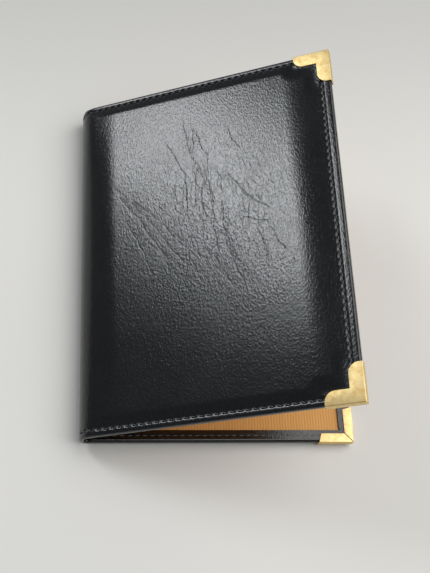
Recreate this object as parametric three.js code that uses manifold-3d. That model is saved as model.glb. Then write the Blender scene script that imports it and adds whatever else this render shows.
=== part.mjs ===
// Bill folder: two padded leather covers on a soft rounded spine, lined in tan cloth, with folded
// brass guards on the four fore-edge corners. It lies on its back cover with the front cover lifted.
// Millimetres. +Y runs along the spine to the head, +X from the spine to the fore-edge, +Z is up.
import * as THREE from 'three';
import { mergeVertices } from 'three/addons/utils/BufferGeometryUtils.js';
import Module from 'manifold-3d';

// Overall size and pose
const folderWidth = 140;
const folderHeight = 185;
const openingAngle = THREE.MathUtils.degToRad(29.8);

// Layers of a cover, from the inside out
const leatherThickness = 0.9;
const liningThickness = 0.4;
const boardThickness = 1.5;
const glueLine = 0.15;

// Padding under the outer leather: its height, and how far it takes to rise from each edge
const frontPuff = 2.4;
const backPuff = 1.8;
const stitchedBorder = 4.2;
const spineRise = 10;
const foreEdgeRise = 14;
const endRise = 9;
const cornerRise = 6;

// Leather turned in over the lining, and how far the lining and the board reach
const turnInAtEnds = 6.1;
const turnInAtForeEdge = 7;
const liningTuck = 3.2;
const edgeRounding = 1.1;

// Spine: where the covers' inner faces start, how far apart they are there, and the outward bulge
const foldInset = 3.4;
const foldGap = 6.1;
const spineBulge = 2.05;
const boardSetback = 2.2;
const hingeClearance = 0.3;

// Brass corner guards
const brassThickness = 0.35;
const brassClearance = 0.1;
const guardLength = 18.8;
const guardWidth = 7;
const guardFlange = 4.8;
const guardEndRadius = 5.2;
const flangeEndSlant = 1.4;
const mitreSlit = 0.16;

// Sizes that follow
const halfHeight = folderHeight / 2;
const coverDepth = folderWidth - foldInset;
const liningInner = leatherThickness + glueLine;
const boardInner = liningInner + liningThickness + glueLine;
const skinInner = boardInner + boardThickness + glueLine;
const edgeThickness = skinInner + leatherThickness;
const hingeLevel = edgeThickness - leatherThickness / 2;
const restHeight = backPuff + edgeThickness;
const guardStand = brassThickness + brassClearance;
const boardMargin = leatherThickness + glueLine;
const cutterReach = 10;

const wasm = await Module();
wasm.setup();

// A closed geometry as a solid that can be joined and cut
function toSolid(geometry) {
  const bare = geometry.clone();
  bare.deleteAttribute('normal');
  bare.deleteAttribute('uv');
  const merged = mergeVertices(bare, 1e-4);
  return new wasm.Manifold(new wasm.Mesh({
    numProp: 3,
    vertProperties: merged.attributes.position.array,
    triVerts: new Uint32Array(merged.index.array),
  }));
}

// A joined or cut solid back as a geometry with flat shading
function toGeometry(solid) {
  const mesh = solid.getMesh();
  const geometry = new THREE.BufferGeometry();
  geometry.setAttribute('position', new THREE.BufferAttribute(mesh.vertProperties, 3));
  geometry.setIndex(new THREE.BufferAttribute(mesh.triVerts, 1));
  const faceted = geometry.toNonIndexed();
  faceted.computeVertexNormals();
  return faceted;
}

function boxBetween(low, high) {
  const size = high.map((value, i) => value - low[i]);
  const middle = high.map((value, i) => (value + low[i]) / 2);
  return toSolid(new THREE.BoxGeometry(...size).translate(...middle));
}

function smoothStep(t) {
  const x = THREE.MathUtils.clamp(t, 0, 1);
  return x * x * (3 - 2 * x);
}

// Distance from a point to a rectangle, nought inside it
function outsideBy(u, v, lowU, lowV) {
  return Math.hypot(Math.max(lowU - u, 0), Math.max(lowV - v, 0));
}

// Height of the padding over a cover. It stays flat along the stitched border and under the guards.
function paddingAt(u, v, puff) {
  const across = Math.abs(v);
  const fromSpine = smoothStep((u - boardSetback) / spineRise);
  const fromForeEdge = smoothStep((coverDepth - stitchedBorder - u) / foreEdgeRise);
  const fromEnd = smoothStep((halfHeight - stitchedBorder - across) / endRise);
  const alongForeEdge = outsideBy(u, across, coverDepth - guardWidth, halfHeight - guardLength);
  const alongEnd = outsideBy(u, across, coverDepth - guardLength, halfHeight - guardWidth);
  const fromGuard = smoothStep(Math.min(alongForeEdge, alongEnd) / cornerRise);
  return puff * fromSpine * fromForeEdge * fromEnd * fromGuard;
}

// Values from one station to the next, with so many steps in each stretch
function stations(...stretches) {
  const values = [stretches[0].from];
  for (const { from, to, steps } of stretches) {
    for (let i = 1; i <= steps; i++) values.push(from + (to - from) * i / steps);
  }
  return values;
}

// The padding is level over a plain rectangle, on which the folder rests
const guardZone = guardLength + cornerRise;
const levelDepth = coverDepth - stitchedBorder - foreEdgeRise;
const levelHeight = halfHeight - stitchedBorder - endRise;
const uStations = stations(
  { from: boardSetback, to: boardSetback + spineRise, steps: 6 },
  { from: boardSetback + spineRise, to: coverDepth - guardZone, steps: 3 },
  { from: coverDepth - guardZone, to: levelDepth, steps: 3 },
  { from: levelDepth, to: coverDepth - stitchedBorder, steps: 4 },
);
const vStations = stations(
  { from: stitchedBorder - halfHeight, to: -levelHeight, steps: 4 },
  { from: -levelHeight, to: guardZone - halfHeight, steps: 4 },
  { from: guardZone - halfHeight, to: halfHeight - guardZone, steps: 4 },
  { from: halfHeight - guardZone, to: levelHeight, steps: 4 },
  { from: levelHeight, to: halfHeight - stitchedBorder, steps: 4 },
);

// The space under the padded surface, from a flat floor up to a level plus the padding's height
function paddedSolid(floor, level, puff) {
  const points = [];
  const faces = [];
  const rows = vStations.length;
  const columns = uStations.length;
  const point = (i, j, top) => (top ? rows * columns : 0) + j * columns + i;
  for (const top of [false, true]) {
    for (const v of vStations) {
      for (const u of uStations) points.push(u, v, top ? level + paddingAt(u, v, puff) : floor);
    }
  }
  const quad = (a, b, c, d) => faces.push(a, b, c, a, c, d);
  for (let j = 0; j + 1 < rows; j++) {
    for (let i = 0; i + 1 < columns; i++) {
      quad(point(i, j, true), point(i + 1, j, true), point(i + 1, j + 1, true), point(i, j + 1, true));
      quad(point(i, j, false), point(i, j + 1, false), point(i + 1, j + 1, false), point(i + 1, j, false));
    }
  }
  for (let i = 0; i + 1 < columns; i++) {
    quad(point(i, 0, false), point(i + 1, 0, false), point(i + 1, 0, true), point(i, 0, true));
    quad(point(i + 1, rows - 1, false), point(i, rows - 1, false), point(i, rows - 1, true),
      point(i + 1, rows - 1, true));
  }
  for (let j = 0; j + 1 < rows; j++) {
    quad(point(0, j + 1, false), point(0, j, false), point(0, j, true), point(0, j + 1, true));
    quad(point(columns - 1, j, false), point(columns - 1, j + 1, false), point(columns - 1, j + 1, true),
      point(columns - 1, j, true));
  }
  const geometry = new THREE.BufferGeometry();
  geometry.setAttribute('position', new THREE.Float32BufferAttribute(points, 3));
  geometry.setIndex(faces);
  return toSolid(geometry);
}

// Materials
const blackLeather = { color: 0x17191c, roughness: 0.42, metalness: 0 };
const tanLining = { color: 0xc9924a, roughness: 0.8, metalness: 0 };
const greyBoard = { color: 0x8f8a80, roughness: 0.9, metalness: 0 };
const whiteFoam = { color: 0xe6e2d6, roughness: 0.95, metalness: 0 };
const polishedBrass = { color: 0xd8b45a, roughness: 0.25, metalness: 1 };

function piece(name, geometry, finish) {
  const mesh = new THREE.Mesh(geometry, new THREE.MeshStandardMaterial(finish));
  mesh.name = name;
  return mesh;
}

// Leather of one cover in the cover's own frame: u from the fold, v along the spine, n outwards.
// The skin is turned in over three edges and runs on as a thin tongue towards the spine.
function coverLeather(puff) {
  const outline = new THREE.Shape();
  outline.moveTo(boardSetback + edgeRounding, edgeRounding - halfHeight);
  outline.lineTo(coverDepth - edgeRounding, edgeRounding - halfHeight);
  outline.lineTo(coverDepth - edgeRounding, halfHeight - edgeRounding);
  outline.lineTo(boardSetback + edgeRounding, halfHeight - edgeRounding);
  outline.closePath();
  const slab = toSolid(new THREE.ExtrudeGeometry(outline, {
    depth: edgeThickness - 2 * edgeRounding,
    bevelThickness: edgeRounding,
    bevelSize: edgeRounding,
    bevelSegments: 3,
  }).translate(0, 0, edgeRounding));
  const tongueStart = leatherThickness / 2 + hingeClearance;
  const tongueEnd = boardSetback + 2 * edgeRounding;
  const tongue = boxBetween([tongueStart, edgeRounding - halfHeight, skinInner],
    [tongueEnd, halfHeight - edgeRounding, edgeThickness]);
  const spineSide = boxBetween([-cutterReach, boardMargin - halfHeight, leatherThickness],
    [boardSetback + edgeRounding, halfHeight - boardMargin, skinInner]);
  const boardPocket = boxBetween([boardSetback, leatherThickness - halfHeight, leatherThickness],
    [coverDepth - leatherThickness, halfHeight - leatherThickness, skinInner]);
  const foamPocket = paddedSolid(liningInner, skinInner, puff);
  const opening = boxBetween([-cutterReach, turnInAtEnds - halfHeight, -cutterReach],
    [coverDepth - turnInAtForeEdge, halfHeight - turnInAtEnds, liningInner]);
  return slab.add(paddedSolid(liningInner, edgeThickness, puff)).add(tongue)
    .subtract(spineSide).subtract(boardPocket).subtract(foamPocket).subtract(opening);
}

// Stiff board between the lining and the foam
function coverBoard() {
  return boxBetween([boardSetback + glueLine, boardMargin - halfHeight, boardInner],
    [coverDepth - boardMargin, halfHeight - boardMargin, boardInner + boardThickness]);
}

// Foam sheet that crowns the leather, feathered out at the stitched border
function coverFoam(puff) {
  const body = paddedSolid(liningInner, skinInner - glueLine, puff);
  const below = boxBetween([-cutterReach, -folderHeight, -cutterReach], [folderWidth, folderHeight, skinInner]);
  return body.subtract(below);
}

// Lining panel, its edges tucked under the turned-in leather
function coverLining() {
  return boxBetween([boardSetback + glueLine, turnInAtEnds - liningTuck - halfHeight, liningInner],
    [coverDepth - turnInAtForeEdge + liningTuck, halfHeight - turnInAtEnds + liningTuck,
      liningInner + liningThickness]);
}

// Brass guard in its own frame: the leather's corner is at the origin, the arms run along -X and -Y
function cornerGuard() {
  const end = guardStand - guardLength;
  const notch = guardStand - guardWidth;
  const face = new THREE.Shape();
  face.moveTo(guardStand, guardStand);
  face.lineTo(end, guardStand);
  face.lineTo(end, notch + guardEndRadius);
  face.absarc(end + guardEndRadius, notch + guardEndRadius, guardEndRadius, Math.PI, 1.5 * Math.PI, false);
  face.lineTo(notch, notch);
  face.lineTo(notch, end + guardEndRadius);
  face.absarc(notch + guardEndRadius, end + guardEndRadius, guardEndRadius, Math.PI, 1.5 * Math.PI, false);
  face.lineTo(guardStand, end);
  face.closePath();
  const plate = new THREE.ExtrudeGeometry(face, { depth: brassThickness, bevelEnabled: false, curveSegments: 6 });
  const outerPlate = toSolid(plate.translate(0, 0, edgeThickness + brassClearance));

  // Each flange on the inside is cut back from the mitre by half the slit
  const flangeEdge = guardStand - guardFlange;
  const slit = mitreSlit / Math.SQRT2;
  const flange = new THREE.Shape();
  flange.moveTo(guardStand - slit, guardStand);
  flange.lineTo(end, guardStand);
  flange.lineTo(end + flangeEndSlant, flangeEdge);
  flange.lineTo(flangeEdge - slit, flangeEdge);
  flange.closePath();
  const headFlange = new THREE.ExtrudeGeometry(flange, { depth: brassThickness, bevelEnabled: false })
    .translate(0, 0, -guardStand);
  // The same flange turned over across the diagonal serves the other arm
  const foreFlange = headFlange.clone().rotateX(Math.PI).rotateZ(Math.PI / 2)
    .translate(0, 0, -guardStand - brassClearance);
  const lowest = -guardStand;
  const highest = edgeThickness + guardStand;
  const headWall = boxBetween([end, brassClearance, lowest], [guardStand, guardStand, highest]);
  const foreWall = boxBetween([brassClearance, end, lowest], [guardStand, guardStand, highest]);
  return outerPlate.add(toSolid(headFlange)).add(toSolid(foreFlange)).add(headWall).add(foreWall);
}

const guardGeometry = toGeometry(cornerGuard());

// Everything that moves with one cover
function makeCover(side, puff) {
  const cover = new THREE.Group();
  cover.add(piece(side + '_leather', toGeometry(coverLeather(puff)), blackLeather));
  cover.add(piece(side + '_board', toGeometry(coverBoard()), greyBoard));
  cover.add(piece(side + '_padding', toGeometry(coverFoam(puff)), whiteFoam));
  cover.add(piece(side + '_lining', toGeometry(coverLining()), tanLining));
  for (const end of ['top', 'bottom']) {
    const guard = piece(side + '_corner_' + end, guardGeometry, polishedBrass);
    // The back cover is turned over about its own X axis, so its ends change places
    const up = (end === 'top') === (side === 'front') ? 1 : -1;
    guard.position.set(coverDepth, up * halfHeight, 0);
    guard.scale.y = up;
    cover.add(guard);
  }
  return cover;
}

const backCover = makeCover('back', backPuff);
backCover.rotation.x = Math.PI;
backCover.position.set(foldInset, 0, restHeight);

const frontCover = makeCover('front', frontPuff);
frontCover.rotation.y = -openingAngle;
frontCover.position.set(foldInset, 0, restHeight + foldGap);

// The spine's skin bends at two lines, one at each cover, in the middle of the leather
const backHinge = new THREE.Vector2(foldInset, restHeight - hingeLevel);
const frontHinge = new THREE.Vector2(foldInset - hingeLevel * Math.sin(openingAngle),
  restHeight + foldGap + hingeLevel * Math.cos(openingAngle));
const chord = frontHinge.clone().sub(backHinge);
const spineRadius = chord.lengthSq() / (8 * spineBulge) + spineBulge / 2;
const inward = new THREE.Vector2(chord.y, -chord.x).normalize();
const spineCentre = backHinge.clone().add(frontHinge).multiplyScalar(0.5)
  .addScaledVector(inward, spineRadius - spineBulge);
const backAngle = backHinge.clone().sub(spineCentre).angle();
const frontAngle = frontHinge.clone().sub(spineCentre).angle();

// A curved band between two radii of the spine, its ends cut short of the bending lines
function spineBand(outer, inner, shortBy, halfLength) {
  const from = backAngle - shortBy / spineRadius;
  const to = frontAngle + shortBy / spineRadius;
  const band = new THREE.Shape();
  band.absarc(spineCentre.x, spineCentre.y, outer, from, to, true);
  band.absarc(spineCentre.x, spineCentre.y, inner, to, from, false);
  band.closePath();
  const geometry = new THREE.ExtrudeGeometry(band, { depth: 2 * halfLength, bevelEnabled: false, curveSegments: 14 });
  return toSolid(geometry.rotateX(Math.PI / 2).translate(0, halfLength, 0));
}

// A round bead along a bending line closes the skin's cut edge
function hingeBead(line, halfLength) {
  const bead = new THREE.CylinderGeometry(leatherThickness / 2, leatherThickness / 2, 2 * halfLength, 12);
  return toSolid(bead.translate(line.x, 0, line.y));
}

const skinOuter = spineRadius + leatherThickness / 2;
const skinUnder = spineRadius - leatherThickness / 2;
const spineLiningOuter = skinUnder - glueLine;
const spineLiningInner = spineLiningOuter - liningThickness;
const turnedOuter = spineLiningInner - glueLine;
const turnedInner = turnedOuter - leatherThickness;
const innerSetback = 2;

// Spine leather: the skin, doubled over at the head and the tail with a pocket for the lining
function spineLeather() {
  const skin = spineBand(skinOuter, skinUnder, 0, halfHeight - edgeRounding)
    .add(hingeBead(backHinge, halfHeight - edgeRounding))
    .add(hingeBead(frontHinge, halfHeight - edgeRounding));
  const doubled = spineBand(skinOuter - edgeRounding / 4, turnedInner, innerSetback, halfHeight);
  const pocket = spineBand(skinUnder, turnedOuter, 0, halfHeight - leatherThickness);
  const mouth = spineBand(turnedOuter + glueLine, turnedInner - cutterReach / 2, 0, halfHeight - turnInAtEnds);
  return skin.add(doubled.subtract(pocket).subtract(mouth));
}

function spineLining() {
  return spineBand(spineLiningOuter, spineLiningInner, innerSetback, halfHeight - turnInAtEnds + liningTuck);
}

const spine = new THREE.Group();
spine.add(piece('spine_leather', toGeometry(spineLeather()), blackLeather));
spine.add(piece('spine_lining', toGeometry(spineLining()), tanLining));

// The origin is under the middle of the whole folder, on the surface that it lies on
const folder = new THREE.Group();
folder.add(backCover, spine, frontCover);
folder.updateMatrixWorld(true);
const bounds = new THREE.Box3().setFromObject(folder, true);
folder.position.x = -(bounds.min.x + bounds.max.x) / 2;

export default folder;
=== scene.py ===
import math

import bmesh
import bpy
import numpy as np
from mathutils import Matrix, Vector


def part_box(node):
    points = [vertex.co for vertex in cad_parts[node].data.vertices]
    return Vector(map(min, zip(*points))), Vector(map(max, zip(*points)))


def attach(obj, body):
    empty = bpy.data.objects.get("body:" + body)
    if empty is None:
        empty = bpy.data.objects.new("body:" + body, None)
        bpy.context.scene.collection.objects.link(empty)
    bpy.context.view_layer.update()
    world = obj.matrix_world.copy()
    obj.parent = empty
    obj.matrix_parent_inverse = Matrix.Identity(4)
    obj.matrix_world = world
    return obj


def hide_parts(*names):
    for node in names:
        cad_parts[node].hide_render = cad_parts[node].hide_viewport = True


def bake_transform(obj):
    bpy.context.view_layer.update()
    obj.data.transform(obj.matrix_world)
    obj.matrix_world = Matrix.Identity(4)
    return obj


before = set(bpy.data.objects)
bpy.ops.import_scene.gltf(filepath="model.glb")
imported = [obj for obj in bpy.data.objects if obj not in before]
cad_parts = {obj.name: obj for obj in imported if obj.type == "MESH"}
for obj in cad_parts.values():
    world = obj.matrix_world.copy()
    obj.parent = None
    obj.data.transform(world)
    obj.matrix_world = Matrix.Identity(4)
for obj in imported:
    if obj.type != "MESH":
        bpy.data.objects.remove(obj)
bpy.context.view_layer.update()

# Stiff boards, one in each cover. They are cut from grey pulp board, a pressed sheet of short
# fibres, so the cut edges and faces are matt and flecked. They lie loose between foam and lining.
mm = 0.001


def linear_colour(code):
    channels = [int(code[i:i + 2], 16) / 255 for i in (1, 3, 5)]
    return [c / 12.92 if c <= 0.04045 else ((c + 0.055) / 1.055) ** 2.4 for c in channels] + [1.0]


def add_node(tree, kind, inputs=None, **settings):
    node = tree.nodes.new(kind)
    for name, value in settings.items():
        setattr(node, name, value)
    for name, value in (inputs or {}).items():
        if isinstance(value, bpy.types.NodeSocket):
            tree.links.new(value, node.inputs[name])
        else:
            node.inputs[name].default_value = value
    return node


def new_material(name):
    material = bpy.data.materials.new(name)
    material.use_nodes = True
    tree = material.node_tree
    return material, tree, tree.nodes["Principled BSDF"]


pulp_board, tree, shader = new_material("grey_pulp_board")
place = add_node(tree, "ShaderNodeTexCoord")
flecks = add_node(tree, "ShaderNodeTexNoise",
                  {"Vector": place.outputs["Object"], "Scale": 1 / (0.8 * mm), "Detail": 4.0})
tone = add_node(tree, "ShaderNodeMix", {"Factor": flecks.outputs["Fac"], "A": linear_colour("#7B766D"),
                                        "B": linear_colour("#A29C90")}, data_type="RGBA")
relief = add_node(tree, "ShaderNodeBump", {"Height": flecks.outputs["Fac"], "Distance": 0.05 * mm,
                                           "Strength": 0.6})
tree.links.new(tone.outputs["Result"], shader.inputs["Base Color"])
tree.links.new(relief.outputs["Normal"], shader.inputs["Normal"])
shader.inputs["Roughness"].default_value = 0.9
for node_name in ("back_board", "front_board"):
    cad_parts[node_name].data.materials[0] = pulp_board

# Outer leather. On the real folder it is one sheet of black leather, 0.9 mm thick, drawn over foam
# and board, turned in over three edges of each cover and round the head and tail of the spine.
# Here it is two pieces that meet along the middle of the spine, because the spine bends at two lines.
leather_thickness = 0.9 * mm
edge_thickness = 4.15 * mm
spine_thickness = 2.5 * mm
opening_angle = math.radians(29.8)
fold_inset = 3.4 * mm
fold_gap = 6.1 * mm
edge_radius = 1.5 * mm
end_turn_in = 6.1 * mm
fore_turn_in = 7.0 * mm
spine_middle_height = 7.4 * mm
spine_bend = {"back": {"straight_from": 2.4 * mm, "end_pull": 3.4 * mm, "start_pull": 3.2 * mm},
              "front": {"straight_from": 6.5 * mm, "end_pull": 5.6 * mm, "start_pull": 6.2 * mm}}
board_step_start = -1.2 * mm
board_step_length = 3.3 * mm
guard_length = 18.8 * mm
guard_width = 7.0 * mm
stitch_pitch = 3.75 * mm
end_stitch_inset = 3.3 * mm
fore_stitch_inset = 4.6 * mm

spine_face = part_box("spine_leather")[0].x
half_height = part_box("back_leather")[1].y
inner_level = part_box("back_leather")[1].z
fore_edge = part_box("back_leather")[1].x
fold_x = spine_face + fold_inset
cover_depth = fore_edge - fold_x
along_front = np.array([math.cos(opening_angle), math.sin(opening_angle)])
out_of_front = np.array([-math.sin(opening_angle), math.cos(opening_angle)])
front_fold = np.array([fold_x, inner_level + fold_gap])
middle_of_spine = np.array([spine_face, spine_middle_height])
cover_lines = {"back": (np.array([fold_x, inner_level]), np.array([1.0, 0.0]), np.array([0.0, -1.0])),
               "front": (front_fold, along_front, out_of_front)}


def smooth_step(t):
    t = np.clip(t, 0, 1)
    return t * t * (3 - 2 * t)


def curve_between(start, start_pull, end_pull, end, steps=160):
    t = np.linspace(0, 1, steps)[:, None]
    return ((1 - t) ** 3 * start + 3 * (1 - t) ** 2 * t * start_pull
            + 3 * (1 - t) * t ** 2 * end_pull + t ** 3 * end)


class Section:
    """Outer face of the leather across one cover, from the middle of the spine to the fore-edge."""

    def __init__(self, side):
        fold_point, direction, outward = cover_lines[side]
        bend = spine_bend[side]
        self.outward_turn = 1 if side == "back" else -1
        end = fold_point + bend["straight_from"] * direction + edge_thickness * outward
        start_pull = middle_of_spine - self.outward_turn * np.array([0, bend["start_pull"]])
        end_pull = end - bend["end_pull"] * direction
        curve = curve_between(middle_of_spine, start_pull, end_pull, end)
        far = end + direction * (cover_depth - bend["straight_from"])
        self.points = np.vstack([curve, far])
        steps = np.linalg.norm(np.diff(self.points, axis=0), axis=1)
        self.lengths = np.concatenate([[0], np.cumsum(steps)])
        self.edge = self.lengths[-1]
        self.fold = self.edge - cover_depth

    def at(self, s):
        """Points on the outer face and unit tangents there, for distances s from the middle."""
        point = np.stack([np.interp(s, self.lengths, self.points[:, i]) for i in (0, 1)], axis=-1)
        step = 0.25 * mm
        ahead = np.stack([np.interp(np.minimum(s + step, self.edge), self.lengths, self.points[:, i])
                          for i in (0, 1)], axis=-1)
        behind = np.stack([np.interp(np.maximum(s - step, 0), self.lengths, self.points[:, i])
                           for i in (0, 1)], axis=-1)
        tangent = ahead - behind
        tangent[s < step] = (0, -self.outward_turn)
        tangent /= np.linalg.norm(tangent, axis=-1, keepdims=True)
        return point, tangent

    def thickness(self, s):
        """From the outer face to the turned-in face: thin round the spine, full over the board."""
        share = smooth_step((s - self.fold - board_step_start) / board_step_length)
        return spine_thickness + (edge_thickness - spine_thickness) * share

    def place(self, s, t, depth):
        """Points of the folder for places on the flat sheet, sunk by depth below the outer face."""
        point, tangent = self.at(s)
        inward = np.stack([-tangent[..., 1], tangent[..., 0]], axis=-1) * self.outward_turn
        flat = point + inward * np.asarray(depth)[..., None]
        return np.stack([flat[..., 0], np.broadcast_to(t, flat[..., 0].shape), flat[..., 1]], axis=-1)


sections = {side: Section(side) for side in ("back", "front")}

# Padded middle of each cover: how far in from each side the padding takes to reach its full height,
# that height, and the share of it that is reached in a short roll along the head and tail.
padding_start = 1.0 * mm
rise_from = {"spine": 18 * mm, "fore_edge": 20 * mm, "end": 5.5 * mm, "guard": 7 * mm}
rise_power = 0.75
end_roll = 0.42
puff = {"back": 1.8 * mm, "front": 2.6 * mm}


def soft_rise(t):
    """From nought to one: quick at first, then ever more slowly, as leather drawn over foam does."""
    return smooth_step(np.clip(t, 0, 1) ** rise_power)


def outside_by(u, v, low_u, low_v):
    return np.hypot(np.maximum(low_u - u, 0), np.maximum(low_v - v, 0))


def padding(u, v, side):
    """Height of the padded middle above the border, nought along the stitches and under the guards."""
    across = np.abs(v)
    from_spine = soft_rise((u - padding_start) / rise_from["spine"])
    from_fore_edge = soft_rise((cover_depth - fore_stitch_inset - u) / rise_from["fore_edge"])
    roll = smooth_step((half_height - end_stitch_inset - across) / rise_from["end"])
    crown = 1 - (across / (half_height - end_stitch_inset)) ** 2
    from_end = end_roll * roll + (1 - end_roll) * crown
    by_fore_edge = outside_by(u, across, cover_depth - guard_width, half_height - guard_length)
    by_end = outside_by(u, across, cover_depth - guard_length, half_height - guard_width)
    from_guard = soft_rise(np.minimum(by_fore_edge, by_end) / rise_from["guard"])
    return puff[side] * from_spine * from_fore_edge * from_end * from_guard


# Creases pressed into the front cover by handling, each a run of points (u, v) in millimetres from
# the fold and from the middle of the height.
creases = [
    [(61, 69), (63, 54), (62, 48), (68, 33), (66, 21), (69, 6)],
    [(64, 65), (67, 52), (70, 45), (70, 31), (72, 17), (72, 2), (74, -13)],
    [(56, 75), (58, 64), (60, 52), (64, 40), (63, 28), (62, 12)],
    [(46, 61), (53, 47), (58, 36), (58, 22), (59, 6)],
    [(15, 42), (20, 35), (34, 19), (43, 6), (52, -8), (58, -15)],
    [(18, 35), (32, 16), (40, 2), (49, -13)],
    [(25, 31), (39, 18), (49, 5), (59, -8)],
    [(22, 20), (32, 2), (38, -14)],
    [(76, 22), (77, 4), (81, -10), (89, -26), (91, -32)],
    [(77, -2), (82, -19), (87, -32)],
    [(79, 35), (86, 23), (95, 13), (105, 6)],
    [(84, 8), (94, 3), (103, 1)],
    [(94, 2), (97, -11), (99, -25)],
    [(99, 1), (104, -10), (111, -19)],
    [(80, 62), (85, 50), (90, 42)],
    [(71, -8), (75, -20), (82, -33)],
]
crease_reach = 1.3 * mm
crease_edge = 0.5 * mm
crease_depth = 0.035 * mm
crease_width = 0.9 * mm
crease_shoulder = 0.5
crease_fade = 7 * mm
far_off = 1.0


def nearest_crease(u, v):
    """Signed distance to the nearest crease, and how strongly it shows there, from nought to one."""
    nearest = np.full_like(u, far_off)
    signed = np.full_like(u, far_off)
    strength = np.zeros_like(u)
    for run in creases:
        corners = np.array(run) * mm
        lengths = np.concatenate([[0], np.cumsum(np.linalg.norm(np.diff(corners, axis=0), axis=1))])
        for (start, end, before) in zip(corners[:-1], corners[1:], lengths[:-1]):
            step = end - start
            size = np.linalg.norm(step)
            share = np.clip(((u - start[0]) * step[0] + (v - start[1]) * step[1]) / size ** 2, 0, 1)
            gap = np.hypot(u - start[0] - share * step[0], v - start[1] - share * step[1])
            side = np.sign((u - start[0]) * step[1] - (v - start[1]) * step[0])
            along = before + share * size
            shown = smooth_step(along / crease_fade) * smooth_step((lengths[-1] - along) / crease_fade)
            closer = gap < nearest
            nearest = np.where(closer, gap, nearest)
            signed = np.where(closer, gap * side, signed)
            strength = np.where(closer, shown, strength)
    return signed, strength * smooth_step((crease_reach - nearest) / crease_edge)


def bump_across(distance, width):
    """A smooth bump, one at its middle and nought well beyond its width."""
    return np.exp(-(distance / width) ** 2)


def crease_relief(u, v):
    """Height of the soft folds that run along the creases: a valley between two low shoulders."""
    signed, strength = nearest_crease(u, v)
    shoulders = crease_shoulder * bump_across(np.abs(signed) - crease_width, crease_width)
    return crease_depth * strength * (shoulders - bump_across(signed, crease_width))


def rows_near(centre, low, high):
    """Extra grid lines close to a row of stitches."""
    offsets = np.array([-1.4, -1.0, -0.65, -0.32, 0, 0.32, 0.65, 1.0, 1.4]) * mm
    lines = centre + offsets
    return lines[(lines > low) & (lines < high)]


# Marks of the sewing: a shallow channel under the stitches with a hole at each stitch end, and on the
# fore-edge a pressed line and a low bead outside the row.
channel_depth = 0.12 * mm
channel_width = 0.55 * mm
inner_channel_share = 0.75
hole_depth = 0.95 * mm
hole_radius = 0.75 * mm
edge_line_inset = 1.75 * mm
edge_line_depth = 0.25 * mm
edge_line_width = 0.3 * mm
bead_inset = 2.7 * mm
bead_height = 0.18 * mm
bead_width = 1.2 * mm
bead_end = 1.5 * mm
bead_taper = 2 * mm
corner_margin = 1 * mm
turned_over = 0.999


def wrap_sheet(s_in, t_in, section, side):
    """Places of the flat sheet's points once it is drawn over the cover and turned in."""
    wall = edge_thickness - 2 * edge_radius
    quarter = edge_radius * math.pi / 2

    def turned(beyond):
        """Inset from the edge, and distance below the outer face as a share of the thickness."""
        first = np.clip(beyond / quarter, 0, 1) * math.pi / 2
        down = np.clip(beyond - quarter, 0, wall)
        second = np.clip((beyond - quarter - wall) / quarter, 0, 1) * math.pi / 2
        flat = np.maximum(beyond - 2 * quarter - wall, 0)
        inset = edge_radius * (1 - np.sin(first)) + edge_radius * (1 - np.cos(second)) + flat
        drop = edge_radius * (1 - np.cos(first)) + down + edge_radius * np.sin(second)
        return inset, drop / edge_thickness

    s_turn = section.edge - edge_radius
    t_turn = half_height - edge_radius
    past_s = s_in - s_turn
    past_t = np.abs(t_in) - t_turn
    past = np.maximum(np.maximum(past_s, past_t), 0)
    inset, share = turned(past)
    by_fore_edge = (past_s > 0) & (past_s >= past_t)
    by_end = (past_t > 0) & (past_t > past_s)
    s = np.where(by_fore_edge, section.edge - inset, s_in)
    s = np.where(by_end, np.minimum(s, section.edge - inset), s)
    t = np.where(by_end, half_height - inset, np.abs(t_in))
    t = np.where(by_fore_edge, np.minimum(t, half_height - inset), t)
    depth = share * section.thickness(s)

    on_face = past <= 0
    u = s - section.fold
    height = padding(u, t, side)
    row_s = section.edge - s
    row_t = half_height - t
    from_row = np.minimum(row_s - fore_stitch_inset, row_t - end_stitch_inset)
    channel = channel_depth * bump_across(from_row, channel_width)
    edge_line = edge_line_depth * bump_across(row_s - edge_line_inset, edge_line_width)
    bead = bead_height * bump_across(row_s - bead_inset, bead_width)
    bead = bead * smooth_step((row_t - bead_end) / bead_taper)
    hole_s = (section.edge - fore_stitch_inset - s) / stitch_pitch
    hole_t = t_in / stitch_pitch
    hole_gap_s = np.hypot((hole_s - np.round(hole_s)) * stitch_pitch, row_t - end_stitch_inset)
    hole_gap_t = np.hypot((hole_t - np.round(hole_t)) * stitch_pitch, row_s - fore_stitch_inset)
    hole = hole_depth * bump_across(np.minimum(hole_gap_s, hole_gap_t), hole_radius)
    in_corner = ((row_s < fore_stitch_inset - corner_margin)
                 | (row_t < end_stitch_inset - corner_margin))
    relief = height - channel - edge_line + bead - np.where(in_corner, 0, hole)
    if side == "front":
        relief = relief + crease_relief(u, t_in)
    depth = depth - np.where(on_face, relief, 0)
    depth = depth - np.where(share > turned_over, inner_channel_share * channel, 0)
    return section.place(s, t * np.sign(t_in + 1e-12), depth)


uv_per_metre = 10.0
mm_per_uv = 100.0
merge_gap = 0.02 * mm
sheet_crease_angle = math.radians(50)


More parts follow.
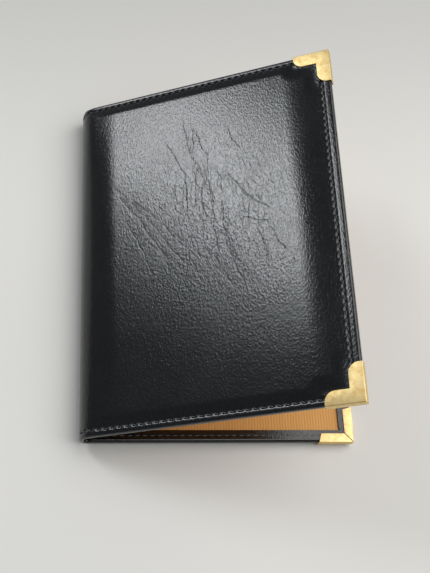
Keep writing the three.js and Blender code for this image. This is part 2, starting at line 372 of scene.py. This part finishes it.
def make_grid(name, s_lines, t_lines, positions_of):
    """A flat grid with a line at each station, moved to its place, with the sheet's own UV map."""
    bpy.ops.object.select_all(action="DESELECT")
    bpy.ops.mesh.primitive_grid_add(x_subdivisions=len(s_lines) - 1, y_subdivisions=len(t_lines) - 1,
                                    size=1)
    sheet = bpy.context.object
    sheet.name = sheet.data.name = name
    mesh = sheet.data
    co = np.empty(len(mesh.vertices) * 3)
    mesh.vertices.foreach_get("co", co)
    co = co.reshape(-1, 3)
    column = np.rint((co[:, 0] + 0.5) * (len(s_lines) - 1)).astype(int)
    row = np.rint((co[:, 1] + 0.5) * (len(t_lines) - 1)).astype(int)
    s, t = np.asarray(s_lines)[column], np.asarray(t_lines)[row]
    mesh.vertices.foreach_set("co", positions_of(s, t).ravel())
    loops = np.empty(len(mesh.loops), dtype=int)
    mesh.loops.foreach_get("vertex_index", loops)
    uv = np.stack([s[loops], t[loops]], axis=-1) * uv_per_metre
    mesh.uv_layers[0].data.foreach_set("uv", uv.ravel())
    mesh.update()
    return sheet


def finish_sheet(sheet, outward_point, thickness):
    """Merges what meets, points the faces outwards and gives the sheet its thickness."""
    bpy.ops.object.mode_set(mode="EDIT")
    bpy.ops.mesh.select_all(action="SELECT")
    bpy.ops.mesh.remove_doubles(threshold=merge_gap)
    bpy.ops.object.mode_set(mode="OBJECT")
    nearest = min(sheet.data.polygons, key=lambda p: (p.center - Vector(outward_point)).length)
    if nearest.normal.dot(Vector(outward_point) - nearest.center) < 0:
        bpy.ops.object.mode_set(mode="EDIT")
        bpy.ops.mesh.select_all(action="SELECT")
        bpy.ops.mesh.flip_normals()
        bpy.ops.object.mode_set(mode="OBJECT")
    wall = sheet.modifiers.new("thickness", "SOLIDIFY")
    wall.thickness = thickness
    wall.offset = -1
    bpy.ops.object.modifier_apply(modifier="thickness")
    bpy.ops.object.shade_smooth_by_angle(angle=sheet_crease_angle)


def leather_lines(section):
    """Grid lines of the flat sheet: a quarter of a stitch apart, closer at the stitches and bends."""
    step = stitch_pitch / 4
    quarter = edge_radius * math.pi / 2
    wall = edge_thickness - 2 * edge_radius
    round_over = np.concatenate([np.linspace(0, quarter, 6), quarter + np.linspace(0, wall, 3)[1:],
                                 quarter + wall + np.linspace(0, quarter, 6)[1:]])
    fore_flap = 2 * quarter + wall + np.array([0.7, 1.4, 1.9, 2.2, 2.5, 3.2, 4.2, 5.5]) * mm
    end_flap = 2 * quarter + wall + np.array([0.7, 1.4, 1.9, 2.2, 2.5, 3.2, 3.9, 4.6]) * mm
    s_row = section.edge - fore_stitch_inset
    s_even = s_row - step * np.arange(int((s_row - 2.2 * mm) / step), 1, -1)
    s_turn = section.edge - edge_radius
    s_lines = np.concatenate([np.linspace(0, s_even[0], 6)[:-1], s_even,
                              rows_near(s_row, s_even[-1] + 0.2 * mm, s_turn - 0.2 * mm),
                              s_turn + round_over, s_turn + fore_flap])
    t_row = half_height - end_stitch_inset
    t_turn = half_height - edge_radius
    t_even = step * np.arange(0, int((t_row - 1.6 * mm) / step) + 1)
    t_half = np.concatenate([t_even, rows_near(t_row, t_even[-1] + 0.2 * mm, t_turn - 0.2 * mm),
                             t_turn + round_over, t_turn + end_flap])
    return s_lines, np.concatenate([-t_half[:0:-1], t_half])


leather_pieces = {}
for side, section in sections.items():
    s_lines, t_lines = leather_lines(section)
    piece = make_grid(side + "_padded_leather", s_lines, t_lines,
                      lambda s, t: wrap_sheet(s, t, section, side))
    middle = section.place(np.array([section.fold + cover_depth / 2]), 0.0, np.array([-40 * mm]))[0]
    finish_sheet(piece, middle, leather_thickness)
    leather_pieces[side] = piece


def paint_creases(piece, section, side):
    """Stores the signed distance to the nearest crease, in millimetres, and its strength."""
    mesh = piece.data
    uv = np.empty(len(mesh.loops) * 2)
    mesh.uv_layers[0].data.foreach_get("uv", uv)
    corner = np.empty(len(mesh.loops), dtype=int)
    mesh.loops.foreach_get("vertex_index", corner)
    place = np.zeros((len(mesh.vertices), 2))
    place[corner] = uv.reshape(-1, 2) / uv_per_metre
    signed, strength = nearest_crease(place[:, 0] - section.fold, place[:, 1])
    if side == "back":
        strength = strength * 0
    for name, values in (("crease_side", signed / mm), ("crease_strength", strength)):
        layer = mesh.attributes.new(name, "FLOAT", "POINT")
        layer.data.foreach_set("value", values)


for side, section in sections.items():
    paint_creases(leather_pieces[side], section, side)

# Black leather, smooth-finished cowhide with a plated, slightly waxy face. The eye sees a broad
# grey sheen broken by fine pebbles drawn out along the spine, and thin veins where it was handled.
# Sizes and widths here are millimetres of leather; a vein's width is a share of its cell.
grain_size = 0.75
grain_noise_size = 0.55
grain_stretch = 0.6
grain_depth = 0.05 * mm
vein_size = 3.2
vein_stretch = 0.38
vein_width = 0.09
vein_depth = 0.03 * mm
vein_wander_size = 6
vein_patch_size = 12
vein_dullness = 0.2
handled_middle = (0.78, 0.12, 0.0)
crease_line_width = 0.48
crease_wander = 1.8
crease_line_depth = 0.032 * mm
crease_dullness = 0.25
wear_size = 30

black_leather, tree, shader = new_material("black_plated_cowhide")
sheet_map = add_node(tree, "ShaderNodeUVMap")
lengthwise = add_node(tree, "ShaderNodeMapping", {"Vector": sheet_map.outputs["UV"],
                                                  "Scale": (1.0, grain_stretch, 1.0)})
grain_cells = add_node(tree, "ShaderNodeTexVoronoi", {"Vector": lengthwise.outputs["Vector"],
                                                      "Scale": mm_per_uv / grain_size}, feature="SMOOTH_F1")
grain_noise = add_node(tree, "ShaderNodeTexNoise", {"Vector": lengthwise.outputs["Vector"],
                                                    "Scale": mm_per_uv / grain_noise_size, "Detail": 2.0})
grain_height = add_node(tree, "ShaderNodeMath", {0: grain_cells.outputs["Distance"],
                                                 1: grain_noise.outputs["Fac"]}, operation="SUBTRACT")
grain = add_node(tree, "ShaderNodeBump", {"Height": grain_height.outputs["Value"],
                                          "Distance": grain_depth, "Strength": 1.0})

# Veins: thin meandering valleys, drawn out along the spine, that show in the handled middle.
wander = add_node(tree, "ShaderNodeTexNoise", {"Vector": sheet_map.outputs["UV"],
                                               "Scale": mm_per_uv / vein_wander_size, "Detail": 3.0})
drawn_out = add_node(tree, "ShaderNodeMapping", {"Vector": sheet_map.outputs["UV"],
                                                 "Scale": (1.0, vein_stretch, 1.0)})
warped = add_node(tree, "ShaderNodeMix", {"Factor": 0.05, "A": drawn_out.outputs["Vector"],
                                          "B": wander.outputs["Color"]}, data_type="VECTOR")
vein_cells = add_node(tree, "ShaderNodeTexVoronoi", {"Vector": warped.outputs["Result"],
                                                     "Scale": mm_per_uv / vein_size},
                      feature="DISTANCE_TO_EDGE")
vein_floor = add_node(tree, "ShaderNodeMapRange", {"Value": vein_cells.outputs["Distance"],
                                                   "From Max": vein_width, "To Min": -1.0, "To Max": 0.0})
folded = add_node(tree, "ShaderNodeVectorMath", {0: sheet_map.outputs["UV"], 1: handled_middle},
                  operation="DISTANCE")
handled = add_node(tree, "ShaderNodeMapRange", {"Value": folded.outputs["Value"], "From Min": 0.2,
                                                "From Max": 0.6, "To Min": 1.0, "To Max": 0.1})
vein_noise = add_node(tree, "ShaderNodeTexNoise", {"Vector": sheet_map.outputs["UV"],
                                                   "Scale": mm_per_uv / vein_patch_size, "Detail": 2.0})
vein_patches = add_node(tree, "ShaderNodeMapRange", {"Value": vein_noise.outputs["Fac"], "From Min": 0.25,
                                                     "From Max": 0.5})
vein_share = add_node(tree, "ShaderNodeMath", {0: handled.outputs["Result"],
                                               1: vein_patches.outputs["Result"]}, operation="MULTIPLY")
vein_height = add_node(tree, "ShaderNodeMath", {0: vein_floor.outputs["Result"],
                                                1: vein_share.outputs["Value"]}, operation="MULTIPLY")
veined = add_node(tree, "ShaderNodeBump", {"Height": vein_height.outputs["Value"], "Distance": vein_depth,
                                           "Strength": 1.0, "Normal": grain.outputs["Normal"]})

# Creases: a sharp valley along each painted line, made uneven by noise.
crease_side = add_node(tree, "ShaderNodeAttribute", attribute_name="crease_side")
crease_strength = add_node(tree, "ShaderNodeAttribute", attribute_name="crease_strength")
sideways = add_node(tree, "ShaderNodeMapRange", {"Value": wander.outputs["Fac"],
                                                 "To Min": -crease_wander, "To Max": crease_wander})
crease_path = add_node(tree, "ShaderNodeMath", {0: crease_side.outputs["Fac"],
                                                1: sideways.outputs["Result"]}, operation="ADD")
crease_gap = add_node(tree, "ShaderNodeMath", {0: crease_path.outputs["Value"]}, operation="ABSOLUTE")
crease_floor = add_node(tree, "ShaderNodeMapRange", {"Value": crease_gap.outputs["Value"],
                                                     "From Max": crease_line_width,
                                                     "To Min": -1.0, "To Max": 0.0},
                        interpolation_type="SMOOTHSTEP")
crease_height = add_node(tree, "ShaderNodeMath", {0: crease_floor.outputs["Result"],
                                                  1: crease_strength.outputs["Fac"]}, operation="MULTIPLY")
creased = add_node(tree, "ShaderNodeBump", {"Height": crease_height.outputs["Value"],
                                            "Distance": crease_line_depth, "Strength": 1.0,
                                            "Normal": veined.outputs["Normal"]})
wear = add_node(tree, "ShaderNodeTexNoise", {"Vector": sheet_map.outputs["UV"],
                                             "Scale": mm_per_uv / wear_size, "Detail": 3.0})
tone = add_node(tree, "ShaderNodeMix", {"Factor": wear.outputs["Fac"], "A": linear_colour("#05070A"),
                                        "B": linear_colour("#0A0D11")}, data_type="RGBA")
gloss = add_node(tree, "ShaderNodeMapRange", {"Value": wear.outputs["Fac"], "From Min": 0.3,
                                              "From Max": 0.7, "To Min": 0.16, "To Max": 0.20})
tree.links.new(tone.outputs["Result"], shader.inputs["Base Color"])
tree.links.new(gloss.outputs["Result"], shader.inputs["Roughness"])
tree.links.new(creased.outputs["Normal"], shader.inputs["Normal"])

# Pits, veins and creases hold less wax, so they shine a little less than the face around them.
pit_share = add_node(tree, "ShaderNodeMapRange", {"Value": grain_height.outputs["Value"], "From Min": -0.35,
                                                  "From Max": 0.25, "To Min": 0.4, "To Max": 0.56})
crease_dulling = add_node(tree, "ShaderNodeMath", {0: crease_height.outputs["Value"],
                                                   1: crease_dullness, 2: 1.0}, operation="MULTIPLY_ADD")
vein_dulling = add_node(tree, "ShaderNodeMath", {0: vein_height.outputs["Value"], 1: vein_dullness, 2: 1.0},
                        operation="MULTIPLY_ADD")
line_dulling = add_node(tree, "ShaderNodeMath", {0: crease_dulling.outputs["Value"],
                                                 1: vein_dulling.outputs["Value"]}, operation="MULTIPLY")
shine = add_node(tree, "ShaderNodeMath", {0: pit_share.outputs["Result"], 1: line_dulling.outputs["Value"]},
                 operation="MULTIPLY")
tree.links.new(shine.outputs["Value"], shader.inputs["Specular IOR Level"])
shader.inputs["IOR"].default_value = 1.6

# Each leather piece takes the black leather, and its placement is baked into its mesh.
for side, piece in leather_pieces.items():
    piece.data.materials.append(black_leather)


def bend_with_spine(piece, side):
    if side == "back":
        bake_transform(piece)
    else:
        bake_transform(piece)


for side, piece in leather_pieces.items():
    bend_with_spine(piece, side)
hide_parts("back_leather", "spine_leather")
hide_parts("front_leather")

# Foam sheets that crown the covers. Thin open-celled foam lies on each board and thins out to
# nothing at the stitched border, so one grid runs over its board side and back over its leather
# side. Its cut face is pale, dull and pitted by its cells.
foam_clearance = 0.12 * mm
foam_floor = leather_thickness + foam_clearance
foam_share = 0.95
foam_start = 1.2 * mm

sheet_foam, tree, shader = new_material("open_cell_foam")
place = add_node(tree, "ShaderNodeTexCoord")
cells = add_node(tree, "ShaderNodeTexVoronoi", {"Vector": place.outputs["Object"], "Scale": 1 / (0.6 * mm)})
tone = add_node(tree, "ShaderNodeMix", {"Factor": cells.outputs["Distance"], "A": linear_colour("#D8D2C0"),
                                        "B": linear_colour("#EDE8DA")}, data_type="RGBA")
relief = add_node(tree, "ShaderNodeBump", {"Height": cells.outputs["Distance"], "Distance": 0.15 * mm,
                                           "Strength": 0.8})
tree.links.new(tone.outputs["Result"], shader.inputs["Base Color"])
tree.links.new(relief.outputs["Normal"], shader.inputs["Normal"])
shader.inputs["Roughness"].default_value = 0.95


def foam_place(s, t, section, side):
    over = s > 0
    across = section.fold + foam_start + (cover_depth - foam_start - fore_stitch_inset) * np.abs(s)
    crown = foam_share * padding(across - section.fold, np.abs(t), side)
    return section.place(across, t, foam_floor - np.where(over, crown, 0))


for side, section in sections.items():
    t_reach = half_height - end_stitch_inset
    foam = make_grid(side + "_foam_sheet", np.linspace(-1, 1, 61), np.linspace(-t_reach, t_reach, 49),
                     lambda s, t: foam_place(s, t, section, side))
    bpy.ops.object.mode_set(mode="EDIT")
    bpy.ops.mesh.select_all(action="SELECT")
    bpy.ops.mesh.remove_doubles(threshold=0.001 * mm)
    bpy.ops.mesh.normals_make_consistent(inside=False)
    bpy.ops.object.mode_set(mode="OBJECT")
    bpy.ops.object.shade_smooth()
    foam.data.materials.append(sheet_foam)
    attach(foam, side + "_cover")
    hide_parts(side + "_padding")

# Lining. Tan ribbed cloth on a thin backing, glued over the boards and across the spine, its three
# outer edges under the turned-in leather. The ribs run along the spine and give it a silky streak.
lining_thickness = 0.4 * mm
lining_tuck = 3.0 * mm
lining_sink = leather_thickness + 0.12 * mm
rib_pitch = 0.75
rib_depth = 0.08 * mm

ribbed_cloth, tree, shader = new_material("ribbed_lining_cloth")
sheet_map = add_node(tree, "ShaderNodeUVMap")
ribs = add_node(tree, "ShaderNodeTexWave", {"Vector": sheet_map.outputs["UV"],
                                            "Scale": mm_per_uv / rib_pitch / (2 * math.pi),
                                            "Distortion": 0.6, "Detail": 1.0}, bands_direction="X")
streaks = add_node(tree, "ShaderNodeMapping", {"Vector": sheet_map.outputs["UV"],
                                               "Scale": (1.0, 0.05, 1.0)})
slubs = add_node(tree, "ShaderNodeTexNoise", {"Vector": streaks.outputs["Vector"], "Scale": mm_per_uv / 1.2,
                                              "Detail": 4.0})
weave = add_node(tree, "ShaderNodeMath", {0: ribs.outputs["Fac"], 1: slubs.outputs["Fac"]}, operation="ADD")
tone = add_node(tree, "ShaderNodeMix", {"Factor": slubs.outputs["Fac"], "A": linear_colour("#D3974A"),
                                        "B": linear_colour("#EDB968")}, data_type="RGBA")
rib_tone = add_node(tree, "ShaderNodeMix", {"Factor": ribs.outputs["Fac"], "A": linear_colour("#CB9046"),
                                            "B": tone.outputs["Result"]}, data_type="RGBA")
relief = add_node(tree, "ShaderNodeBump", {"Height": weave.outputs["Value"], "Distance": rib_depth,
                                           "Strength": 0.8})
tree.links.new(rib_tone.outputs["Result"], shader.inputs["Base Color"])
tree.links.new(relief.outputs["Normal"], shader.inputs["Normal"])
shader.inputs["Roughness"].default_value = 0.62
shader.inputs["Sheen Weight"].default_value = 0.25

for side, section in sections.items():
    reach_s = section.edge - fore_turn_in + lining_tuck
    reach_t = half_height - end_turn_in + lining_tuck
    s_lines = np.concatenate([np.linspace(0, section.fold + 12 * mm, 30),
                              np.linspace(section.fold + 12 * mm, reach_s, 60)[1:]])
    t_lines = np.linspace(-reach_t, reach_t, 90)
    cloth = make_grid(side + "_lining_cloth", s_lines, t_lines,
                      lambda s, t: section.place(s, t, section.thickness(s) - lining_sink))
    inside = section.place(np.array([section.fold + cover_depth / 2]), 0.0, np.array([30 * mm]))[0]
    finish_sheet(cloth, inside, lining_thickness)
    cloth.data.materials.append(ribbed_cloth)
    bend_with_spine(cloth, side)
    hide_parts(side + "_lining")
    if side == "back":
        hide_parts("spine_lining")

# Stitching. Waxed black thread in a running lockstitch through leather, board edge and turned-in
# leather, 3.75 mm a stitch. Each stitch stands up a little and dives into its needle holes.
thread_length = 2.4 * mm
thread_width = 0.62 * mm
thread_height = 0.5 * mm
thread_sink = 0.16 * mm
row_end_at_guard = 3 * mm
stitch_slant = math.radians(5)

waxed_thread, tree, shader = new_material("waxed_black_thread")
place = add_node(tree, "ShaderNodeTexCoord")
twist_and_painted_glint = add_node(tree, "ShaderNodeTexNoise", {"Vector": place.outputs["Object"], "Scale": 1 / (0.3 * mm),
                                              "Detail": 2.0})
# The thread's colour runs from near black up to mid-grey along the twist noise; the grey is painted glint,
# standing in for light caught by the waxed black thread.
tone = add_node(tree, "ShaderNodeMix", {"Factor": twist_and_painted_glint.outputs["Fac"], "A": linear_colour("#202226"),
                                        "B": linear_colour("#6A6D73")}, data_type="RGBA")
relief = add_node(tree, "ShaderNodeBump", {"Height": twist_and_painted_glint.outputs["Fac"], "Distance": 0.08 * mm,
                                           "Strength": 0.8})
tree.links.new(tone.outputs["Result"], shader.inputs["Base Color"])
tree.links.new(relief.outputs["Normal"], shader.inputs["Normal"])
shader.inputs["Roughness"].default_value = 0.42

bpy.ops.object.select_all(action="DESELECT")
bpy.ops.mesh.primitive_uv_sphere_add(segments=8, ring_count=6, radius=1)
one_stitch = bpy.context.object
bpy.ops.object.mode_set(mode="EDIT")
bpy.ops.mesh.select_all(action="SELECT")
bpy.ops.transform.rotate(value=math.pi / 2, orient_axis="Y", center_override=(0, 0, 0))
bpy.ops.transform.resize(value=(thread_length / 2, thread_width / 2, thread_height / 2))
bpy.ops.object.mode_set(mode="OBJECT")


def stitch_places(section):
    """(s, t, runs along the spine) for the middle of every stitch of one cover."""
    places = []
    under_guard = guard_length - row_end_at_guard
    row_t = half_height - end_stitch_inset
    count = int((section.edge - fore_stitch_inset) / stitch_pitch)
    for k in range(count):
        s = section.edge - fore_stitch_inset - (k + 0.5) * stitch_pitch
        if s < section.edge - under_guard:
            places += [(s, row_t, False), (s, -row_t, False)]
    half_count = int((half_height - under_guard) / stitch_pitch)
    for k in range(-half_count, half_count):
        places.append((section.edge - fore_stitch_inset, (k + 0.5) * stitch_pitch, True))
    return places


def sew(name, section, inner):
    """One run of stitches as a single mesh, on the outer face or on the turned-in face."""
    work = bmesh.new()
    for s, t, along_spine in stitch_places(section):
        total = float(section.thickness(np.array([s]))[0])
        depth = total - thread_sink if inner else thread_sink
        here, ahead = section.place(np.array([s, s + 0.3 * mm]), t, np.array([depth, depth]))
        below = section.place(np.array([s]), t, np.array([depth + 1 * mm]))[0]
        up = Vector(here - below).normalized() * (-1 if inner else 1)
        across = Vector(ahead - here).normalized()
        run = Vector((0, 1, 0)) if along_spine else across
        side_way = up.cross(run)
        slanted = run * math.cos(stitch_slant) + side_way * math.sin(stitch_slant)
        turn = Matrix((slanted, up.cross(slanted), up)).transposed().to_4x4()
        copy = one_stitch.data.copy()
        copy.transform(Matrix.Translation(Vector(here)) @ turn)
        work.from_mesh(copy)
        bpy.data.meshes.remove(copy)
    mesh = bpy.data.meshes.new(name)
    work.to_mesh(mesh)
    work.free()
    seam = bpy.data.objects.new(name, mesh)
    bpy.context.scene.collection.objects.link(seam)
    for polygon in mesh.polygons:
        polygon.use_smooth = True
    mesh.materials.append(waxed_thread)
    return seam


for side, section in sections.items():
    for face in ("outer", "inner"):
        seam = sew(side + "_" + face + "_stitches", section, face == "inner")
        bend_with_spine(seam, side)
bpy.data.objects.remove(one_stitch)

# Corner guards. Thin brass sheet cut to an L, folded over the board edges, its inner flanges
# mitred at the corner and pressed tight. Polished, then dulled in patches by handling.
brass_thickness = 0.35 * mm
guard_stand = 0.45 * mm
guard_flange = 4.8 * mm
guard_end_radius = 5.2 * mm
flange_end_slant = 1.4 * mm
fold_radius = 0.5 * mm
corner_slit = 0.22 * mm

polished_brass, tree, shader = new_material("polished_sheet_brass")
place = add_node(tree, "ShaderNodeTexCoord")
waves = add_node(tree, "ShaderNodeTexNoise", {"Vector": place.outputs["Object"], "Scale": 1 / (7 * mm),
                                              "Detail": 1.0})
smears = add_node(tree, "ShaderNodeTexNoise", {"Vector": place.outputs["Object"], "Scale": 1 / (3 * mm),
                                               "Detail": 5.0, "Roughness": 0.65})
scratch_map = add_node(tree, "ShaderNodeMapping", {"Vector": place.outputs["Object"],
                                                   "Scale": (1.0, 0.06, 1.0),
                                                   "Rotation": (0.0, 0.0, math.radians(38))})
scratches = add_node(tree, "ShaderNodeTexNoise", {"Vector": scratch_map.outputs["Vector"],
                                                  "Scale": 1 / (0.35 * mm), "Detail": 3.0})
wavy = add_node(tree, "ShaderNodeBump", {"Height": waves.outputs["Fac"], "Distance": 0.15 * mm,
                                         "Strength": 1.0})
scratched = add_node(tree, "ShaderNodeBump", {"Height": scratches.outputs["Fac"], "Distance": 0.01 * mm,
                                              "Strength": 0.6, "Normal": wavy.outputs["Normal"]})
tarnish = add_node(tree, "ShaderNodeMapRange", {"Value": smears.outputs["Fac"], "From Min": 0.45,
                                                "From Max": 0.7})
tone = add_node(tree, "ShaderNodeMix", {"Factor": tarnish.outputs["Result"], "A": linear_colour("#EED69C"),
                                        "B": linear_colour("#DDBC78")}, data_type="RGBA")
gloss = add_node(tree, "ShaderNodeMapRange", {"Value": smears.outputs["Fac"], "From Min": 0.3,
                                              "From Max": 0.75, "To Min": 0.48, "To Max": 0.56})
tree.links.new(tone.outputs["Result"], shader.inputs["Base Color"])
tree.links.new(gloss.outputs["Result"], shader.inputs["Roughness"])
tree.links.new(scratched.outputs["Normal"], shader.inputs["Normal"])
shader.inputs["Metallic"].default_value = 1.0

arm_end = guard_stand - guard_length
notch = guard_stand - guard_width
face_level = edge_thickness + guard_stand
wall_height = edge_thickness + 2 * guard_stand
bpy.ops.object.select_all(action="DESELECT")
bpy.ops.mesh.primitive_grid_add(x_subdivisions=2, y_subdivisions=2, size=2)
guard = bpy.context.object
stops = (arm_end, notch, guard_stand)
for vertex in guard.data.vertices:
    vertex.co = (stops[round(vertex.co.x) + 1], stops[round(vertex.co.y) + 1], face_level)
shape = bmesh.new()
shape.from_mesh(guard.data)
inner_quarter = [f for f in shape.faces
                 if f.calc_center_median().x < notch and f.calc_center_median().y < notch]
bmesh.ops.delete(shape, geom=inner_quarter, context="FACES")


def vertex_at(x, y, z):
    return min(shape.verts, key=lambda v: (v.co - Vector((x, y, z))).length)


arm_corners = [vertex_at(arm_end, notch, face_level), vertex_at(notch, arm_end, face_level)]
bmesh.ops.bevel(shape, geom=arm_corners, affect="VERTICES", offset=guard_end_radius, segments=10,
                profile=0.5)


def fold_strip(axis, drop_to, inward):
    """Folds a strip down from one outer side of the plate: the wall, then the flange on the inside."""
    def on_side(edge):
        return all(abs(v.co[axis] - guard_stand) < 1e-7 and abs(v.co.z - face_level) < 1e-7
                   for v in edge.verts)

    top = [e for e in shape.edges if on_side(e)]
    wall_geometry = bmesh.ops.extrude_edge_only(shape, edges=top)["geom"]
    wall_points = [g for g in wall_geometry if isinstance(g, bmesh.types.BMVert)]
    along = 1 - axis
    for point in wall_points:
        point.co.z = drop_to
        if point.co[along] > 0:
            point.co[along] -= corner_slit
    wall_foot = [g for g in wall_geometry if isinstance(g, bmesh.types.BMEdge)
                 and all(v in wall_points for v in g.verts)]
    flange_geometry = bmesh.ops.extrude_edge_only(shape, edges=wall_foot)["geom"]
    for point in [g for g in flange_geometry if isinstance(g, bmesh.types.BMVert)]:
        point.co[axis] -= inward
        if point.co[along] > 0:
            point.co[along] -= inward
        elif point.co[along] < arm_end + 1e-7:
            point.co[along] += flange_end_slant


fold_strip(1, face_level - wall_height, guard_flange)
fold_strip(0, face_level - wall_height, guard_flange)
folds = [e for e in shape.edges if len(e.link_faces) == 2 and e.calc_face_angle() > math.radians(60)]
bmesh.ops.bevel(shape, geom=folds, affect="EDGES", offset=fold_radius, segments=4, profile=0.5)
bmesh.ops.recalc_face_normals(shape, faces=shape.faces)
plate = max(shape.faces, key=lambda f: f.calc_area())
if plate.normal.z < 0:
    bmesh.ops.reverse_faces(shape, faces=shape.faces)
shape.to_mesh(guard.data)
shape.free()
wall = guard.modifiers.new("thickness", "SOLIDIFY")
wall.thickness = brass_thickness
wall.offset = -1
soften = guard.modifiers.new("soft_edges", "BEVEL")
soften.width = 0.12 * mm
soften.segments = 3
soften.limit_method = "ANGLE"
soften.angle_limit = math.radians(40)
bpy.ops.object.modifier_apply(modifier="thickness")
bpy.ops.object.modifier_apply(modifier="soft_edges")
bpy.ops.object.shade_smooth_by_angle(angle=math.radians(35))

back_place = Matrix(((1, 0, 0, fold_x), (0, -1, 0, 0), (0, 0, -1, inner_level), (0, 0, 0, 1)))
front_place = (Matrix.Translation((fold_x, 0, inner_level + fold_gap))
               @ Matrix.Rotation(-opening_angle, 4, "Y"))
for side, cover_place in (("back", back_place), ("front", front_place)):
    for end in ("top", "bottom"):
        copy = guard.copy()
        copy.data = guard.data.copy()
        name = side + "_guard_" + end
        copy.name = copy.data.name = name
        bpy.context.scene.collection.objects.link(copy)
        up = 1 if (end == "top") == (side == "front") else -1
        corner = Matrix.Translation((cover_depth, up * half_height, 0)) @ Matrix.Scale(up, 4, (0, 1, 0))
        copy.data.transform(cover_place @ corner)
        if up < 0:
            copy.data.flip_normals()
        copy.data.materials.append(polished_brass)
        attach(copy, side + "_cover")
        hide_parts(side + "_corner_" + end)
bpy.data.objects.remove(guard)

# Table and light. A plain pale table whose colour is painted darker beyond the folder, as painted shade
# for the room light falling off there; a broad soft window light from beyond the folder on the left, and an
# even pale room.
table_size = 6.0
painted_shade_from = 0.02
painted_shade_to = 0.24
bpy.ops.object.select_all(action="DESELECT")
bpy.ops.mesh.primitive_plane_add(size=table_size)
table = bpy.context.object
table.name = "table"
table_top, tree, shader = new_material("pale_table")
place = add_node(tree, "ShaderNodeTexCoord")
mottle = add_node(tree, "ShaderNodeTexNoise", {"Vector": place.outputs["Object"], "Scale": 6.0,
                                               "Detail": 2.0})
tone = add_node(tree, "ShaderNodeMix", {"Factor": mottle.outputs["Fac"], "A": linear_colour("#DEDEDB"),
                                        "B": linear_colour("#E3E3E0")}, data_type="RGBA")
# Painted shade: from just beyond the folder outwards the table's colour fades to a darker grey, standing in
# for the room light falling off.
ahead = add_node(tree, "ShaderNodeSeparateXYZ", {"Vector": place.outputs["Object"]})
beyond = add_node(tree, "ShaderNodeMapRange", {"Value": ahead.outputs["Y"], "From Min": painted_shade_from,
                                               "From Max": painted_shade_to}, interpolation_type="SMOOTHSTEP")
shade = add_node(tree, "ShaderNodeMix", {"Factor": beyond.outputs["Result"], "A": tone.outputs["Result"],
                                         "B": linear_colour("#C4C4C1")}, data_type="RGBA")
tree.links.new(shade.outputs["Result"], shader.inputs["Base Color"])
shader.inputs["Roughness"].default_value = 0.6
table.data.materials.append(table_top)


def soft_lamp(name, place, aim, size, power, colour, roll=0.0):
    bpy.ops.object.light_add(type="AREA", location=place)
    lamp = bpy.context.object
    lamp.name = name
    lamp.data.shape = "RECTANGLE"
    lamp.data.size, lamp.data.size_y = size
    lamp.data.energy = power
    facing = (Vector(aim) - Vector(place)).to_track_quat("-Z", "Y").to_matrix()
    lamp.rotation_euler = (facing @ Matrix.Rotation(roll, 3, "Z")).to_euler()
    lamp.data.color = linear_colour(colour)[:3]


window_from = Vector((-0.613, 0.503, 0.611)) * 2.2
soft_lamp("window", window_from, (0, 0.02, 0.04), (0.465, 1.07), 14.0, "#F6F9FC", math.radians(-17))
soft_lamp("ceiling", (0.9, 0.15, 1.5), (0, 0, 0), (2.0, 2.0), 31.0, "#FFFDFA")

world = bpy.data.worlds.new("pale_room")
bpy.context.scene.world = world
world.use_nodes = True
room = world.node_tree.nodes["Background"]
room.inputs["Color"].default_value = linear_colour("#D9DADC")
room.inputs["Strength"].default_value = 0.26

# Camera, above the tail end and looking down at the folder, turned so that the spine runs up the
# picture. Places are in millimetres from the middle of the folder's base.
camera_place = Vector((-90.60, -194.95, 450.92)) * mm
camera_down = math.radians(64.925)
camera_heading = math.radians(-26.115)
camera_roll = math.radians(25.669)
bpy.ops.object.camera_add(location=camera_place)
camera = bpy.context.object
turn = (Matrix.Rotation(camera_heading, 3, "Z") @ Matrix.Rotation(math.pi / 2 - camera_down, 3, "X")
        @ Matrix.Rotation(camera_roll, 3, "Z"))
camera.rotation_euler = turn.to_euler()
camera.data.sensor_width = 36
camera.data.lens = 57.47
camera.data.clip_start = 0.01
bpy.context.scene.camera = camera
bpy.context.scene.view_settings.view_transform = "Standard"
